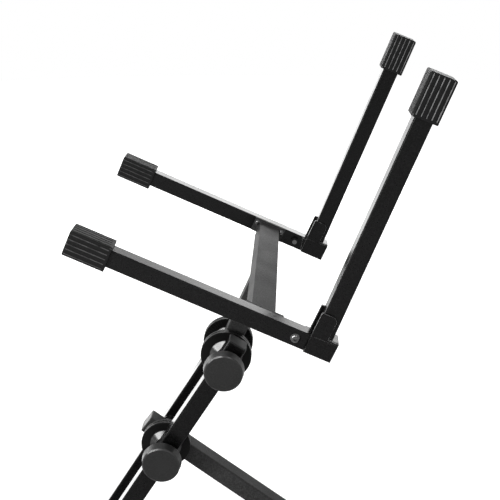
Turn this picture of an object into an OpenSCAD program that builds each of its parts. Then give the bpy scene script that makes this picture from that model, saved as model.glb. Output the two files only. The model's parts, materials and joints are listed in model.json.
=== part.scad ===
// Tilt-back amplifier stand with fold-down back arms.
// Axes: +X towards the back, +Y towards the far side, +Z up; origin on the floor, centred under the stand.
// Head frame: s runs back along the base arms from the foot of the back arms, and v stands up from
// their top face.

/* [Arms] */
// Lean of the arms back from level
arm_tilt = 23.7; // [12:0.1:30]
// Outside width of the square arm tube
arm_tube = 25; // [22:0.5:28]
// Wall of the arm tube
arm_wall = 1.5; // [1.2:0.1:2.2]
// Outside corner radius of the arm tube
arm_corner = 2.4; // [2.3:0.1:3.5]
// Distance between the centrelines of the two arms
arm_spacing = 416; // [360:1:460]
// Length of a base arm tube
base_arm_length = 339; // [280:1:420]
// Length of a back arm tube
back_arm_length = 369; // [300:1:440]
// Lean of an upright back arm towards the front
back_arm_lean = 2.3; // [1:0.1:3]
// Radius of the toe of a back arm, which turns past the bracket floor
arm_toe_radius = 12; // [11.5:0.1:12]

/* [Arm caps] */
// Outside width of a rubber arm cap
cap_width = 36.5; // [34:0.5:38]
// Length of an arm cap
cap_length = 59; // [45:1:70]
// Thickness of the closed end of an arm cap
cap_end = 5.6; // [4:0.2:8]
// Radius of the closed end and long edges of an arm cap
cap_radius = 3; // [2:0.5:3.5]
// Length of the plain collar at the mouth of an arm cap
cap_collar = 3.5; // [2:0.5:6]
// Depth of the grip grooves in an arm cap
cap_groove_depth = 0.7; // [0.5:0.1:1.4]
// Distance between grip grooves
cap_groove_pitch = 7; // [5:0.5:9]
// Width of a grip groove at the surface
cap_groove_width = 2.4; // [1.4:0.1:3]

/* [Hinge brackets] */
// Thickness of the bracket plates
plate = 3; // [2.5:0.1:4]
// Side clearance between a cheek and the arms
cheek_clearance = 0.3; // [0.2:0.05:0.5]
// Height of the cheeks above the base arm
cheek_top = 37; // [34:1:44]
// Rear edge of the upper part of the cheeks
cheek_rear = 18; // [17:0.5:22]
// Front edge of the cheeks, ahead of the back arm
cheek_front = 5.5; // [4:0.5:8]
// Radius of the upper rear corner of the cheeks
cheek_radius = 8; // [5:0.5:10]
// Rear end of the bracket behind the front of the back arm
bracket_rear = 34; // [32:0.5:40]
// Height of the stop plate above the base arm
stop_height = 4; // [3:0.5:5]
// Front edge of the stop plate
stop_front = 13; // [12:0.5:15]
// Gap between a folded back arm and its base arm
fold_gap = 6.6; // [6.5:0.1:8]
// Play between the foot of a back arm and the stop plate
stop_play = 0.3; // [0.2:0.05:0.5]
// Diameter of a hinge pin
hinge_pin_d = 8; // [6:0.5:9]
// Length of the tongue inside the base arm
tongue_length = 34; // [30:1:45]
// Play around the tongue
tongue_play = 0.2; // [0.1:0.05:0.4]
// How far the inner cheek's tab reaches over the base arm
tab_reach = 7; // [4:0.5:10]

/* [Head] */
// Distance from the base arms' top face down to the tilt axis
post_drop = 161.4; // [140:0.2:180]
// Distance from the front of the back arms forward to the post
post_forward = 73; // [60:0.5:90]
// Length of the post below the tilt axis
post_overhang = 20; // [17:0.5:30]
// Width of the cross bar along the arms
bar_width = 35; // [30:1:40]
// Height of the cross bar
bar_height = 25; // [20:1:30]
// Wall of the cross bar
bar_wall = 2; // [1.5:0.1:3]
// Depth of the cross bar's top below the arms' top face
bar_drop = 5; // [3:0.5:8]
// Length of a cross bar end plate along the arm
end_plate_length = 56; // [54:1:70]
// Height of a cross bar end plate, flush with the arms' top face
end_plate_height = 24; // [22:0.5:25]
// Distance from the bar centre to an end plate bolt
end_bolt_offset = 22.5; // [22:0.5:23]
// Depth of the end plate bolts below the arms' top face
end_bolt_drop = 7.5; // [7:0.5:12]

/* [Legs] */
// Outside width of the square leg tube
leg_tube = 30; // [28:0.5:34]
// Wall of the leg tube
leg_wall = 2; // [1.5:0.1:2.5]
// Outside corner radius of the leg tube
leg_corner = 3; // [2.8:0.1:4]
// Angle of the front legs above the floor
front_leg_angle = 58.2; // [54:0.1:62]
// Angle of the rear leg above the floor
rear_leg_angle = 36.9; // [34:0.1:42]
// Height of the leg axis above the floor
leg_axis_height = 300; // [260:1:340]
// Distance from the leg axis to the tilt axis
axis_spacing = 188.5; // [170:0.5:220]
// Length of the front legs above the tilt axis
front_overhang = 40; // [30:0.5:50]
// Length of the rear leg above the leg axis
rear_overhang = 43; // [30:0.5:50]
// Flange thickness of a tube plug
plug_flange = 2; // [1.5:0.1:3]
// Depth of a plug inside its tube
plug_depth = 12; // [8:1:16]
// Play around a plug
plug_play = 0.1; // [0.05:0.05:0.2]

/* [Feet] */
// Width of the square foot bar
foot_bar = 30; // [28:0.5:34]
// Length of the front foot bar
front_foot_length = 360; // [300:1:430]
// Length of the rear foot bar
rear_foot_length = 400; // [300:1:430]
// Wall of a rubber foot cap
foot_cap_wall = 3; // [2:0.5:4]
// Length of a foot cap
foot_cap_length = 45; // [35:1:60]
// Depth of the tread grooves under a foot cap
tread_depth = 1; // [0.5:0.1:1.5]
// Number of tread grooves
tread_count = 5; // [3:1:7]

/* [Clutches] */
// Diameter of a clutch disc
disc_d = 80; // [74:1:90]
// Height of the conical hub behind the rim
hub_rise = 5.5; // [4:0.1:7]
// Thickness of the rim with its teeth
rim_thickness = 6.35; // [5:0.05:8]
// Gap between the tooth tips of a released clutch
tooth_gap = 0.3; // [0.2:0.05:0.5]
// Diameter of the hub where it meets the tube
hub_d = 32; // [28:1:36]
// Diameter where the cone meets the rim
cone_d = 52; // [46:1:56]
// Number of teeth
tooth_count = 60; // [40:1:72]
// Depth of a tooth at the rim
tooth_depth = 1.8; // [1.2:0.1:2.4]
// Share of the pitch left flat on a tooth tip
tooth_land = 0.15; // [0.1:0.01:0.3]
// Diameter inside the toothed ring
ring_inside_d = 50; // [46:1:56]
// Depth of the dish inside the toothed ring
dish_depth = 2.5; // [2.2:0.1:3.5]
// Number of ribs on the back of an inner disc
rib_count = 48; // [24:1:60]
// Height of those ribs
rib_height = 0.8; // [0.5:0.1:1.2]
// Width of those ribs
rib_width = 1.4; // [1:0.1:1.8]
// Diameter of a locating peg
peg_d = 6; // [5:0.5:7]
// Distance of a peg from the axis
peg_offset = 10; // [9.5:0.1:10.5]
// Play around pegs, pins and bolts
pin_play = 0.05; // [0.02:0.01:0.09]

/* [Springs] */
// Diameter of the spring pocket
spring_pocket_d = 22; // [20:1:24]
// Thickness left behind the spring
spring_seat = 4; // [3:0.5:5]
// Mean diameter of the spring
spring_d = 18; // [16:0.5:18]
// Wire of the spring
spring_wire = 1.6; // [1.2:0.1:2]
// Turns of the spring
spring_turns = 4; // [3:1:6]

/* [Bolts and knobs] */
// Diameter of the clutch bolts
clutch_bolt_d = 10; // [8:1:11]
// Head diameter of the clutch bolts
clutch_head_d = 21; // [18:1:24]
// Head height of the clutch bolts
clutch_head_h = 5; // [4:0.5:6]
// Length of the square neck
neck_length = 4; // [3:0.5:5]
// Diameter of a knob at the back of its rim
knob_d = 63; // [50:1:70]
// Depth of a knob from its face to the washer
knob_depth = 28; // [24:1:32]
// Depth of the knob's rim
knob_rim = 17; // [14:0.5:20]
// How much the knob's radius shrinks from the back of its rim to its face
knob_taper = 1.8; // [0:0.1:2]
// Width of the slope around the knob's face
knob_slope = 2.2; // [1:0.1:4]
// Angle of that slope to the face
knob_slope_angle = 30; // [20:1:45]
// Height of the dome on the knob's face
knob_dome = 1.2; // [0.5:0.1:2]
// Wall of the knob
knob_wall = 3.5; // [3:0.5:5]
// Diameter of the knob's hub
knob_hub_d = 26; // [24:1:30]
// Number of ribs in the back of a knob
knob_ribs = 6; // [3:1:12]
// Width across the flats of the nut in a knob
knob_nut_flats = 16; // [14:0.5:17]
// Thickness of the nut in a knob
knob_nut_h = 8; // [6:0.5:9]
// Depth of the nut inside the knob's hub
knob_nut_depth = 3; // [2:0.5:4]
// Washer diameter
washer_d = 24; // [21:1:28]
// Washer thickness
washer_t = 2; // [1.5:0.1:3]
// Diameter of the bracket bolts
bracket_bolt_d = 8; // [6:0.5:8]
// Head diameter of the bracket bolts
bracket_head_d = 14; // [12:0.5:15]
// Head height of the bracket bolts
bracket_head_h = 4.4; // [3.5:0.1:5]
// Distance of the bracket bolts ahead of the back arm's front
bracket_bolt_forward = 22.6; // [20:0.2:26]
// Diameter of the cross bar bolts
bar_bolt_d = 5; // [4:0.5:5]
// Head diameter of the cross bar bolts
bar_head_d = 9; // [8:0.5:9.5]
// Head height of the cross bar bolts
bar_head_h = 2.8; // [2.5:0.1:4]

/* [Hidden] */

eps = 0.01;
round_fn = 96;
small_fn = 48;
arc_steps = 6;
near = -1;
far = 1;

frame_black = [0.09, 0.09, 0.10];
rubber_black = [0.16, 0.16, 0.17];
plastic_black = [0.07, 0.07, 0.08];
plug_grey = [0.55, 0.55, 0.56];
zinc = [0.62, 0.63, 0.65];

// Small fixed allowances
corner_ease = 0.4;
tube_gap = 0.5;
neck_play = 0.3;
knob_play = 0.1;
spring_play = 0.2;
peg_short = 0.2;
wall_drop = 1;
bolt_past_nut = 2;
nut_flats_ratio = 1.6;
nut_height_ratio = 0.8;

arm_y = arm_spacing / 2;
arm_half = arm_tube / 2;
arm_bore = arm_tube - 2 * arm_wall;
arm_inner_y = arm_y - arm_half;
base_tube_rear = -cheek_front - tube_gap;
base_tube_front = base_tube_rear - base_arm_length;
hinge_v = arm_half + fold_gap;
hinge_s = arm_half - hinge_v * tan(back_arm_lean);
arm_foot_drop = hinge_v - stop_height - stop_play;
back_arm_top = back_arm_length - arm_foot_drop;

cheek_in = arm_half + cheek_clearance;
cheek_out = cheek_in + plate;
bar_v = -bar_drop - bar_height / 2;
post_top = -bar_drop - bar_height;

clutch_stack = 2 * (hub_rise + rim_thickness) + tooth_gap;
leg_half = leg_tube / 2;
leg_inner_y = leg_half + clutch_stack;
leg_y = leg_inner_y + leg_half;
leg_outer_y = leg_inner_y + leg_tube;

foot_height = foot_bar / 2 + foot_cap_wall;
foot_cap_size = foot_bar + 2 * foot_cap_wall;
front_foot_run = (leg_axis_height - foot_height) / tan(front_leg_angle);
rear_foot_run = (leg_axis_height - foot_height) / tan(rear_leg_angle);

tilt_dx = axis_spacing * cos(front_leg_angle);
tilt_z = leg_axis_height + axis_spacing * sin(front_leg_angle);
cap_corner_up = back_arm_top + cap_end - cap_radius;
cap_corner_out = cap_width / 2 - cap_radius;
cap_corner_s = hinge_s - cap_corner_up * sin(back_arm_lean) + cap_corner_out * cos(back_arm_lean);
cap_corner_v = hinge_v + cap_corner_up * cos(back_arm_lean) + cap_corner_out * sin(back_arm_lean);
reach_back = tilt_dx + cap_radius
    + (cap_corner_s + post_forward) * cos(arm_tilt)
    + (cap_corner_v + post_drop) * sin(arm_tilt);
reach_front = front_foot_run + foot_cap_size / 2;
leg_x = (reach_front - reach_back) / 2;
tilt_x = leg_x + tilt_dx;
front_foot_x = leg_x - front_foot_run;
rear_foot_x = leg_x + rear_foot_run;
post_turn = 90 - arm_tilt;

bolt_bore = clutch_bolt_d + 2 * pin_play;
neck_size = clutch_bolt_d;
neck_hole = neck_size + neck_play;
knob_start = washer_t + knob_play;
knob_end = knob_start + knob_depth;
nut_z = knob_start + knob_nut_depth;
bolt_reach = nut_z + knob_nut_h + bolt_past_nut;
arm_bolt_v = -arm_half;

// Points along an arc about c, from angle a to angle b
function arc(c, r, a, b, n = arc_steps) =
    [for (i = [0:n]) c + r * [cos(a + (b - a) * i / n), sin(a + (b - a) * i / n)]];

// Solid square section with true round corners
module round_square(size, r) {
    square([size, size - 2 * r], center = true);
    square([size - 2 * r, size], center = true);
    for (x = [-1, 1], y = [-1, 1])
        translate([x, y] * (size / 2 - r))
            circle(r, $fn = small_fn);
}

// Square tube standing on the origin
module square_tube(length, size, wall, corner) {
    linear_extrude(length)
        difference() {
            round_square(size, corner);
            round_square(size - 2 * wall, corner - wall + corner_ease);
        }
}

// Rod along Y between two places
module rod_y(d, y0, y1, fn = small_fn) {
    translate([0, y0, 0])
        rotate([-90, 0, 0])
            cylinder(d = d, h = y1 - y0, $fn = fn);
}

// Plate in the s-v plane between two places along Y
module plate_y(y0, y1) {
    translate([0, y1, 0])
        rotate([90, 0, 0])
            linear_extrude(y1 - y0)
                children();
}

// A local +Z that points away from the middle of the stand: near side -Y, far side +Y
module face_out(side) {
    rotate([side == near ? 90 : -90, 0, 0])
        children();
}

module face_in(side) {
    rotate([side == near ? -90 : 90, 0, 0])
        children();
}

// Builds for the near side and mirrors for the far side
module on_side(side) {
    mirror([0, side == near ? 0 : 1, 0])
        translate([0, -arm_y, 0])
            children();
}

// Frames of the moving bodies
module at_leg_axis() {
    translate([leg_x, 0, leg_axis_height])
        children();
}

module at_tilt_axis() {
    translate([tilt_x, 0, tilt_z])
        children();
}

module along_front_leg() {
    at_leg_axis()
        rotate([0, 90 - front_leg_angle, 0])
            children();
}

module along_rear_leg() {
    at_leg_axis()
        rotate([0, rear_leg_angle - 90, 0])
            children();
}

module in_head() {
    at_tilt_axis()
        rotate([0, arm_tilt, 0])
            translate([post_forward, 0, post_drop])
                children();
}

module at_hinge() {
    translate([hinge_s, 0, hinge_v])
        rotate([0, -back_arm_lean, 0])
            children();
}

// Screw head shaped as a dome, standing on the origin
module dome_head(d, h) {
    rim = 0.2 * h;
    ball = (pow(d / 2, 2) + pow(h - rim, 2)) / (2 * (h - rim));
    edge = asin(d / 2 / ball);
    rotate_extrude($fn = small_fn)
        polygon(concat([[0, 0], [d / 2, 0]], arc([0, h - ball], ball, 90 - edge, 90)));
}

// Button head screw: head outwards on +Z, shank down
module button_screw(d, head_d, head_h, length) {
    socket = 0.6 * d;
    difference() {
        union() {
            dome_head(head_d, head_h);
            translate([0, 0, -length])
                cylinder(d = d, h = length + eps, $fn = small_fn);
        }
        translate([0, 0, 0.4 * head_h])
            cylinder(d = socket / cos(30), h = head_h, $fn = 6);
    }
}

// Hex nut standing on the origin
module hex_nut(flats, h, bore) {
    difference() {
        cylinder(d = flats / cos(30), h = h, $fn = 6);
        translate([0, 0, -eps])
            cylinder(d = bore, h = h + 2 * eps, $fn = small_fn);
    }
}

// Plug that closes the end of a square tube, its flange on +Z
module tube_plug(size, wall, corner) {
    core = size - 2 * wall - 2 * plug_play;
    hollow = core - 2 * plug_flange;
    step = 0.6 * plug_flange;
    difference() {
        union() {
            translate([0, 0, -plug_depth])
                linear_extrude(plug_depth + eps)
                    round_square(core, corner - wall + corner_ease);
            linear_extrude(step)
                round_square(size, corner);
            linear_extrude(plug_flange)
                round_square(size - plug_flange, corner);
        }
        translate([-hollow / 2, -hollow / 2, -plug_depth - eps])
            cube([hollow, hollow, plug_depth + eps]);
    }
}

// Outline of a ribbed cap: four sides of grooves joined by round corners
function cap_side() =
    let (
        flat = cap_width - 2 * cap_radius,
        grooves = 1 + floor((flat - cap_groove_width) / cap_groove_pitch),
        half = cap_groove_width / 2,
        floor_half = half / 8,
        start = -(grooves - 1) / 2 * cap_groove_pitch,
        x = cap_width / 2
    )
    [for (i = [0:grooves - 1])
        let (y = start + i * cap_groove_pitch)
        each [
            [x, y - half], [x - cap_groove_depth, y - floor_half],
            [x - cap_groove_depth, y + floor_half], [x, y + half]
        ]];

function turned(points, a) =
    [for (p = points) [p[0] * cos(a) - p[1] * sin(a), p[0] * sin(a) + p[1] * cos(a)]];

function cap_outline() =
    let (c = cap_width / 2 - cap_radius)
    [for (a = [0:90:270])
        each turned(concat(cap_side(), arc([c, c], cap_radius, 0, 90)), a)];

// Side view of a cap, closed end up: round at the closed end, eased at the mouth
module cap_profile(width, length) {
    mouth = cap_radius / 4;
    half = width / 2;
    polygon(concat(
        arc([half - mouth, mouth], mouth, -90, 0),
        arc([half - cap_radius, length - cap_radius], cap_radius, 0, 90),
        arc([cap_radius - half, length - cap_radius], cap_radius, 90, 180),
        arc([mouth - half, mouth], mouth, 180, 270)
    ));
}

// Rubber arm cap, mouth at the origin, closed end up
module arm_cap() {
    difference() {
        intersection() {
            union() {
                linear_extrude(cap_collar)
                    round_square(cap_width, cap_radius);
                linear_extrude(cap_length)
                    polygon(cap_outline());
            }
            plate_y(-cap_width, cap_width)
                cap_profile(cap_width, cap_length);
            rotate([0, 0, 90])
                plate_y(-cap_width, cap_width)
                    cap_profile(cap_width, cap_length);
        }
        translate([0, 0, -eps])
            linear_extrude(cap_length - cap_end + eps)
                round_square(arm_tube, arm_corner);
    }
}

// One half of a toothed clutch, back on the origin and teeth up
module clutch_disc(ribbed, teeth_turn, peg_turn, peg_length) {
    face = hub_rise + rim_thickness;
    groove_slope = atan(tooth_depth / (disc_d / 2));
    groove_half = 180 / tooth_count * (1 - tooth_land);
    groove_flank = disc_d / 2 * tan(groove_half) / tooth_depth;
    cutter = 1.5 * tooth_depth;
    edge = 0.6;
    rib_edge = 0.5;
    r = disc_d / 2;
    flank = cutter * groove_flank;
    difference() {
        union() {
            rotate_extrude($fn = round_fn)
                polygon([
                    [bolt_bore / 2, 0], [hub_d / 2, 0], [cone_d / 2, hub_rise], [r - edge, hub_rise],
                    [r, hub_rise + edge], [r, face], [ring_inside_d / 2, face],
                    [ring_inside_d / 2, face - dish_depth], [spring_pocket_d / 2, face - dish_depth],
                    [spring_pocket_d / 2, spring_seat], [bolt_bore / 2, spring_seat]
                ]);
            if (ribbed)
                for (i = [0:rib_count - 1])
                    rotate([0, 0, (i + 0.5) * 360 / rib_count])
                        translate([cone_d / 2 + rib_edge, -rib_width / 2, hub_rise - rib_height])
                            cube([r - cone_d / 2 - 3 * rib_edge, rib_width, rib_height + eps]);
            for (side = [-1, 1])
                rotate([0, 0, peg_turn])
                    translate([side * peg_offset, 0, -peg_length])
                        cylinder(d = peg_d, h = peg_length + eps, $fn = small_fn);
        }
        for (i = [0:tooth_count - 1])
            rotate([0, 0, teeth_turn + i * 360 / tooth_count])
                translate([0, 0, face])
                    rotate([0, groove_slope, 0])
                        translate([ring_inside_d / 2 - 1, 0, 0])
                            rotate([90, 0, 90])
                                linear_extrude(r - ring_inside_d / 2 + 3)
                                    polygon([[0, 0], [flank, cutter], [-flank, cutter]]);
    }
}

// Coil spring along Z between two heights
function coil_point(t, z0, rise) =
    [spring_d / 2 * cos(360 * spring_turns * t), spring_d / 2 * sin(360 * spring_turns * t), z0 + rise * t];

module coil_spring(z0, z1) {
    sides = 6;
    rings = 16 * spring_turns;
    wire = spring_wire / 2;
    rise = z1 - z0 - spring_wire;
    points = [for (k = [0:rings], j = [0:sides - 1])
        let (
            t = k / rings,
            a = 360 * spring_turns * t,
            b = 360 * j / sides
        )
        coil_point(t, z0 + wire, rise) + wire * [cos(b) * cos(a), cos(b) * sin(a), sin(b)]];
    around = [for (k = [0:rings - 1], j = [0:sides - 1])
        let (
            a = k * sides + j,
            b = k * sides + (j + 1) % sides
        )
        each [[a, a + sides, b], [b, a + sides, b + sides]]];
    polyhedron(
        points,
        concat([[for (j = [0:sides - 1]) j]], around, [[for (j = [sides - 1:-1:0]) rings * sides + j]])
    );
}

// Holes for a clutch disc's pegs in one wall of a leg tube
module peg_holes(face_y) {
    for (z = [-1, 1])
        translate([0, 0, z * peg_offset])
            rod_y(peg_d + 2 * pin_play, face_y - leg_wall - 1, face_y + leg_wall + 1);
}

module front_leg_tube(side) {
    bottom = leg_axis_height / sin(front_leg_angle) + leg_tube;
    top = axis_spacing + front_overhang - plug_flange;
    block = 5 * leg_tube;
    color(frame_black)
        difference() {
            translate([0, side * leg_y, 0])
                along_front_leg()
                    translate([0, 0, -bottom])
                        square_tube(bottom + top, leg_tube, leg_wall, leg_corner);
            for (z = [0, axis_spacing])
                along_front_leg()
                    translate([0, 0, z]) {
                        rod_y(bolt_bore, -2 * leg_outer_y, 2 * leg_outer_y);
                        peg_holes(side * leg_inner_y);
                        if (side == far)
                            translate([-neck_hole / 2, leg_outer_y - leg_wall - 1, -neck_hole / 2])
                                cube([neck_hole, leg_wall + 2, neck_hole]);
                    }
            translate([front_foot_x + foot_bar / 2, -2 * leg_outer_y, foot_height + foot_bar / 2])
                translate([-block, 0, -block])
                    cube([block, 4 * leg_outer_y, block]);
        }
}

module front_leg_plug(side) {
    color(plug_grey)
        translate([0, side * leg_y, 0])
            along_front_leg()
                translate([0, 0, axis_spacing + front_overhang - plug_flange])
                    tube_plug(leg_tube, leg_wall, leg_corner);
}

module foot_tube(x, length) {
    color(frame_black)
        translate([x, -length / 2, foot_height])
            rotate([-90, 0, 0])
                square_tube(length, foot_bar, leg_wall, leg_corner);
}

// Rubber cap on the end of a foot bar, with tread grooves underneath
module foot_cap(x, length, side) {
    mouth = length / 2 + foot_cap_wall - foot_cap_length;
    pitch = foot_cap_length / (tread_count + 1);
    sole = side * (foot_cap_size / 2 - tread_depth);
    color(rubber_black)
        translate([x, side * mouth, foot_height])
            face_out(side)
                difference() {
                    linear_extrude(foot_cap_length)
                        round_square(foot_cap_size, foot_cap_wall + 1);
                    translate([0, 0, -eps])
                        linear_extrude(foot_cap_length - foot_cap_wall + eps)
                            round_square(foot_bar, leg_corner);
                    for (i = [1:tread_count])
                        translate([-foot_cap_size, sole, (i - 0.25) * pitch])
                            mirror([0, side == far ? 0 : 1, 0])
                                cube([2 * foot_cap_size, 2 * tread_depth, pitch / 2]);
                }
}

module rear_leg_tube() {
    bottom = leg_axis_height / sin(rear_leg_angle) + leg_tube;
    top = rear_overhang - plug_flange;
    block = 5 * leg_tube;
    color(frame_black)
        difference() {
            along_rear_leg()
                translate([0, 0, -bottom])
                    square_tube(bottom + top, leg_tube, leg_wall, leg_corner);
            along_rear_leg() {
                rod_y(bolt_bore, -leg_tube, leg_tube);
                for (side = [near, far])
                    peg_holes(side * leg_half);
            }
            translate([rear_foot_x - foot_bar / 2, -leg_tube, foot_height + foot_bar / 2 - block])
                cube([block, 2 * leg_tube, block]);
        }
}

module rear_leg_plug() {
    color(plug_grey)
        along_rear_leg()
            translate([0, 0, rear_overhang - plug_flange])
                tube_plug(leg_tube, leg_wall, leg_corner);
}

// Clutch halves: outer ones sit on the front legs, inner ones on the tube between them
module outer_disc(side, tube_turn) {
    color(plastic_black)
        translate([0, side * leg_inner_y, 0])
            face_in(side)
                clutch_disc(
                    ribbed = false,
                    teeth_turn = 180 / tooth_count,
                    peg_turn = side == near ? -tube_turn : tube_turn,
                    peg_length = leg_wall - peg_short
                );
}

module inner_disc(side, tube_turn) {
    color(plastic_black)
        translate([0, side * leg_half, 0])
            face_out(side)
                clutch_disc(
                    ribbed = true,
                    teeth_turn = 0,
                    peg_turn = side == near ? tube_turn : -tube_turn,
                    peg_length = leg_wall - peg_short
                );
}

// Carriage bolt: dome head on the far leg, square neck in its wall, shank out to the knob
module clutch_bolt() {
    color(zinc) {
        translate([0, leg_outer_y, 0])
            rotate([-90, 0, 0])
                dome_head(clutch_head_d, clutch_head_h);
        rotate([0, 90 - front_leg_angle, 0])
            translate([-neck_size / 2, leg_outer_y - neck_length, -neck_size / 2])
                cube([neck_size, neck_length + eps, neck_size]);
        rod_y(clutch_bolt_d, -leg_outer_y - bolt_reach, leg_outer_y + eps);
    }
}

module clutch_springs() {
    color(zinc)
        for (side = [near, far])
            face_out(side)
                coil_spring(leg_half + spring_seat + spring_play, leg_inner_y - spring_seat - spring_play);
}

module knob_washer() {
    color(zinc)
        translate([0, -leg_outer_y, 0])
            rotate([90, 0, 0])
                difference() {
                    cylinder(d = washer_d, h = washer_t, $fn = small_fn);
                    translate([0, 0, -eps])
                        cylinder(d = bolt_bore, h = washer_t + 2 * eps, $fn = small_fn);
                }
}

// Moulded knob: domed face, sloped edge, tapered rim, ribbed hollow back around a hub
module knob() {
    r = knob_d / 2;
    face_r = r - knob_taper;
    flat_r = face_r - knob_slope;
    back = knob_end - knob_dome - knob_rim;
    front = knob_end - knob_dome;
    floor_z = front - knob_wall;
    back_edge = 1;
    rib_start = back + 2 * back_edge;
    rib_length = r - knob_wall - knob_hub_d / 2;
    rib_height = floor_z - rib_start + back_edge;
    ball = (pow(flat_r, 2) + pow(knob_dome, 2)) / (2 * knob_dome);
    lift = asin(flat_r / ball);
    color(plastic_black)
        translate([0, -leg_outer_y, 0])
            rotate([90, 0, 0])
                difference() {
                    union() {
                        rotate_extrude($fn = round_fn)
                            polygon(concat(
                                [
                                    [0, knob_start], [knob_hub_d / 2, knob_start],
                                    [knob_hub_d / 2, floor_z], [face_r - knob_wall, floor_z],
                                    [r - knob_wall, back], [r - back_edge, back], [r, back + back_edge],
                                    [face_r, front - knob_slope * tan(knob_slope_angle)],
                                    [flat_r, front]
                                ],
                                arc([0, knob_end - ball], ball, 90 - lift + 1, 90)
                            ));
                        for (i = [0:knob_ribs - 1])
                            rotate([0, 0, i * 360 / knob_ribs])
                                translate([knob_hub_d / 2 - back_edge, -knob_wall / 4, rib_start])
                                    cube([rib_length + 1.5 * back_edge, knob_wall / 2, rib_height]);
                    }
                    translate([0, 0, knob_start - eps])
                        cylinder(d = bolt_bore, h = bolt_reach - knob_start + 1, $fn = small_fn);
                    translate([0, 0, nut_z])
                        cylinder(d = knob_nut_flats / cos(30), h = knob_nut_h, $fn = 6);
                }
}

module knob_nut() {
    color(zinc)
        translate([0, -leg_outer_y, 0])
            rotate([90, 0, 0])
                translate([0, 0, nut_z])
                    hex_nut(knob_nut_flats, knob_nut_h, bolt_bore);
}

module head_post() {
    length = post_drop + post_overhang - plug_flange + post_top;
    color(frame_black)
        in_head()
            difference() {
                translate([-post_forward, 0, -post_drop - post_overhang + plug_flange])
                    square_tube(length, leg_tube, leg_wall, leg_corner);
                translate([-post_forward, 0, -post_drop]) {
                    rod_y(bolt_bore, -leg_tube, leg_tube);
                    for (side = [near, far])
                        peg_holes(side * leg_half);
                }
            }
}

module head_post_plug() {
    color(plastic_black)
        in_head()
            translate([-post_forward, 0, -post_drop - post_overhang + plug_flange])
                rotate([180, 0, 0])
                    difference() {
                        tube_plug(leg_tube, leg_wall, leg_corner);
                        translate([0, 0, plug_flange - post_overhang])
                            rod_y(bolt_bore + 1, -leg_tube, leg_tube);
                    }
}

module cross_bar() {
    length = 2 * (arm_inner_y - plate);
    color(frame_black)
        in_head()
            translate([-post_forward, 0, bar_v]) {
                translate([0, length / 2, 0])
                    rotate([90, 0, 0])
                        linear_extrude(length)
                            difference() {
                                square([bar_width, bar_height], center = true);
                                square([bar_width, bar_height] - 2 * bar_wall * [1, 1], center = true);
                            }
                for (side = [near, far])
                    difference() {
                        translate([0, side * (arm_inner_y - plate / 2), -end_plate_height / 2 - bar_v])
                            cube([end_plate_length, plate, end_plate_height], center = true);
                        for (x = [-1, 1])
                            translate([x * end_bolt_offset, 0, -end_bolt_drop - bar_v])
                                rod_y(bar_bolt_d + 2 * pin_play, -2 * arm_y, 2 * arm_y);
                    }
            }
}

module at_bar_bolts() {
    in_head()
        for (side = [near, far], x = [-1, 1])
            translate([-post_forward + x * end_bolt_offset, side * arm_inner_y, -end_bolt_drop])
                face_in(side)
                    children();
}

module cross_bar_bolts() {
    color(zinc)
        at_bar_bolts()
            translate([0, 0, plate])
                button_screw(bar_bolt_d, bar_head_d, bar_head_h, plate + arm_wall + bar_bolt_d + 1);
}

module cross_bar_nuts() {
    color(zinc)
        at_bar_bolts()
            translate([0, 0, -arm_wall - nut_height_ratio * bar_bolt_d])
                hex_nut(
                    nut_flats_ratio * bar_bolt_d,
                    nut_height_ratio * bar_bolt_d,
                    bar_bolt_d + 2 * pin_play
                );
}

module base_arm(side) {
    color(frame_black)
        in_head()
            on_side(side)
                difference() {
                    translate([base_tube_front, 0, -arm_half])
                        rotate([0, 90, 0])
                            square_tube(base_arm_length, arm_tube, arm_wall, arm_corner);
                    translate([-bracket_bolt_forward, 0, arm_bolt_v])
                        rod_y(bracket_bolt_d + 2 * pin_play, -arm_tube, arm_tube);
                    for (x = [-1, 1])
                        translate([-post_forward + x * end_bolt_offset, 0, -end_bolt_drop])
                            rod_y(bar_bolt_d + 2 * pin_play, 0, arm_tube);
                }
}

module base_arm_cap(side) {
    color(rubber_black)
        in_head()
            on_side(side)
                translate([base_tube_front + cap_length - cap_end, 0, -arm_half])
                    rotate([0, -90, 0])
                        arm_cap();
}

// Cheek outlines in the s-v plane
module cheek_outline() {
    front_radius = 2;
    polygon(concat(
        [
            [-cheek_front, -arm_tube], [bracket_rear, -arm_tube],
            [bracket_rear, stop_height], [cheek_rear, stop_height]
        ],
        arc([cheek_rear - cheek_radius, cheek_top - cheek_radius], cheek_radius, 0, 90),
        arc([front_radius - cheek_front, cheek_top - front_radius], front_radius, 90, 180)
    ));
}

module inner_cheek_tab() {
    polygon([
        [-cheek_front, tube_gap - arm_tube], [plate - cheek_front, tube_gap - arm_tube],
        [plate - cheek_front, -wall_drop], [-cheek_front - tab_reach, -wall_drop]
    ]);
}

// Square channel of a given width that slides into a base arm, with its corners rounded like the bore's
module tongue(width) {
    channel = width - 2 * plate;
    difference() {
        rotate([90, 0, 90])
            linear_extrude(tongue_length + eps)
                round_square(width, arm_corner - arm_wall + corner_ease);
        translate([-eps, -channel / 2, -channel / 2])
            cube([tongue_length, channel, channel]);
    }
}

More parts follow.
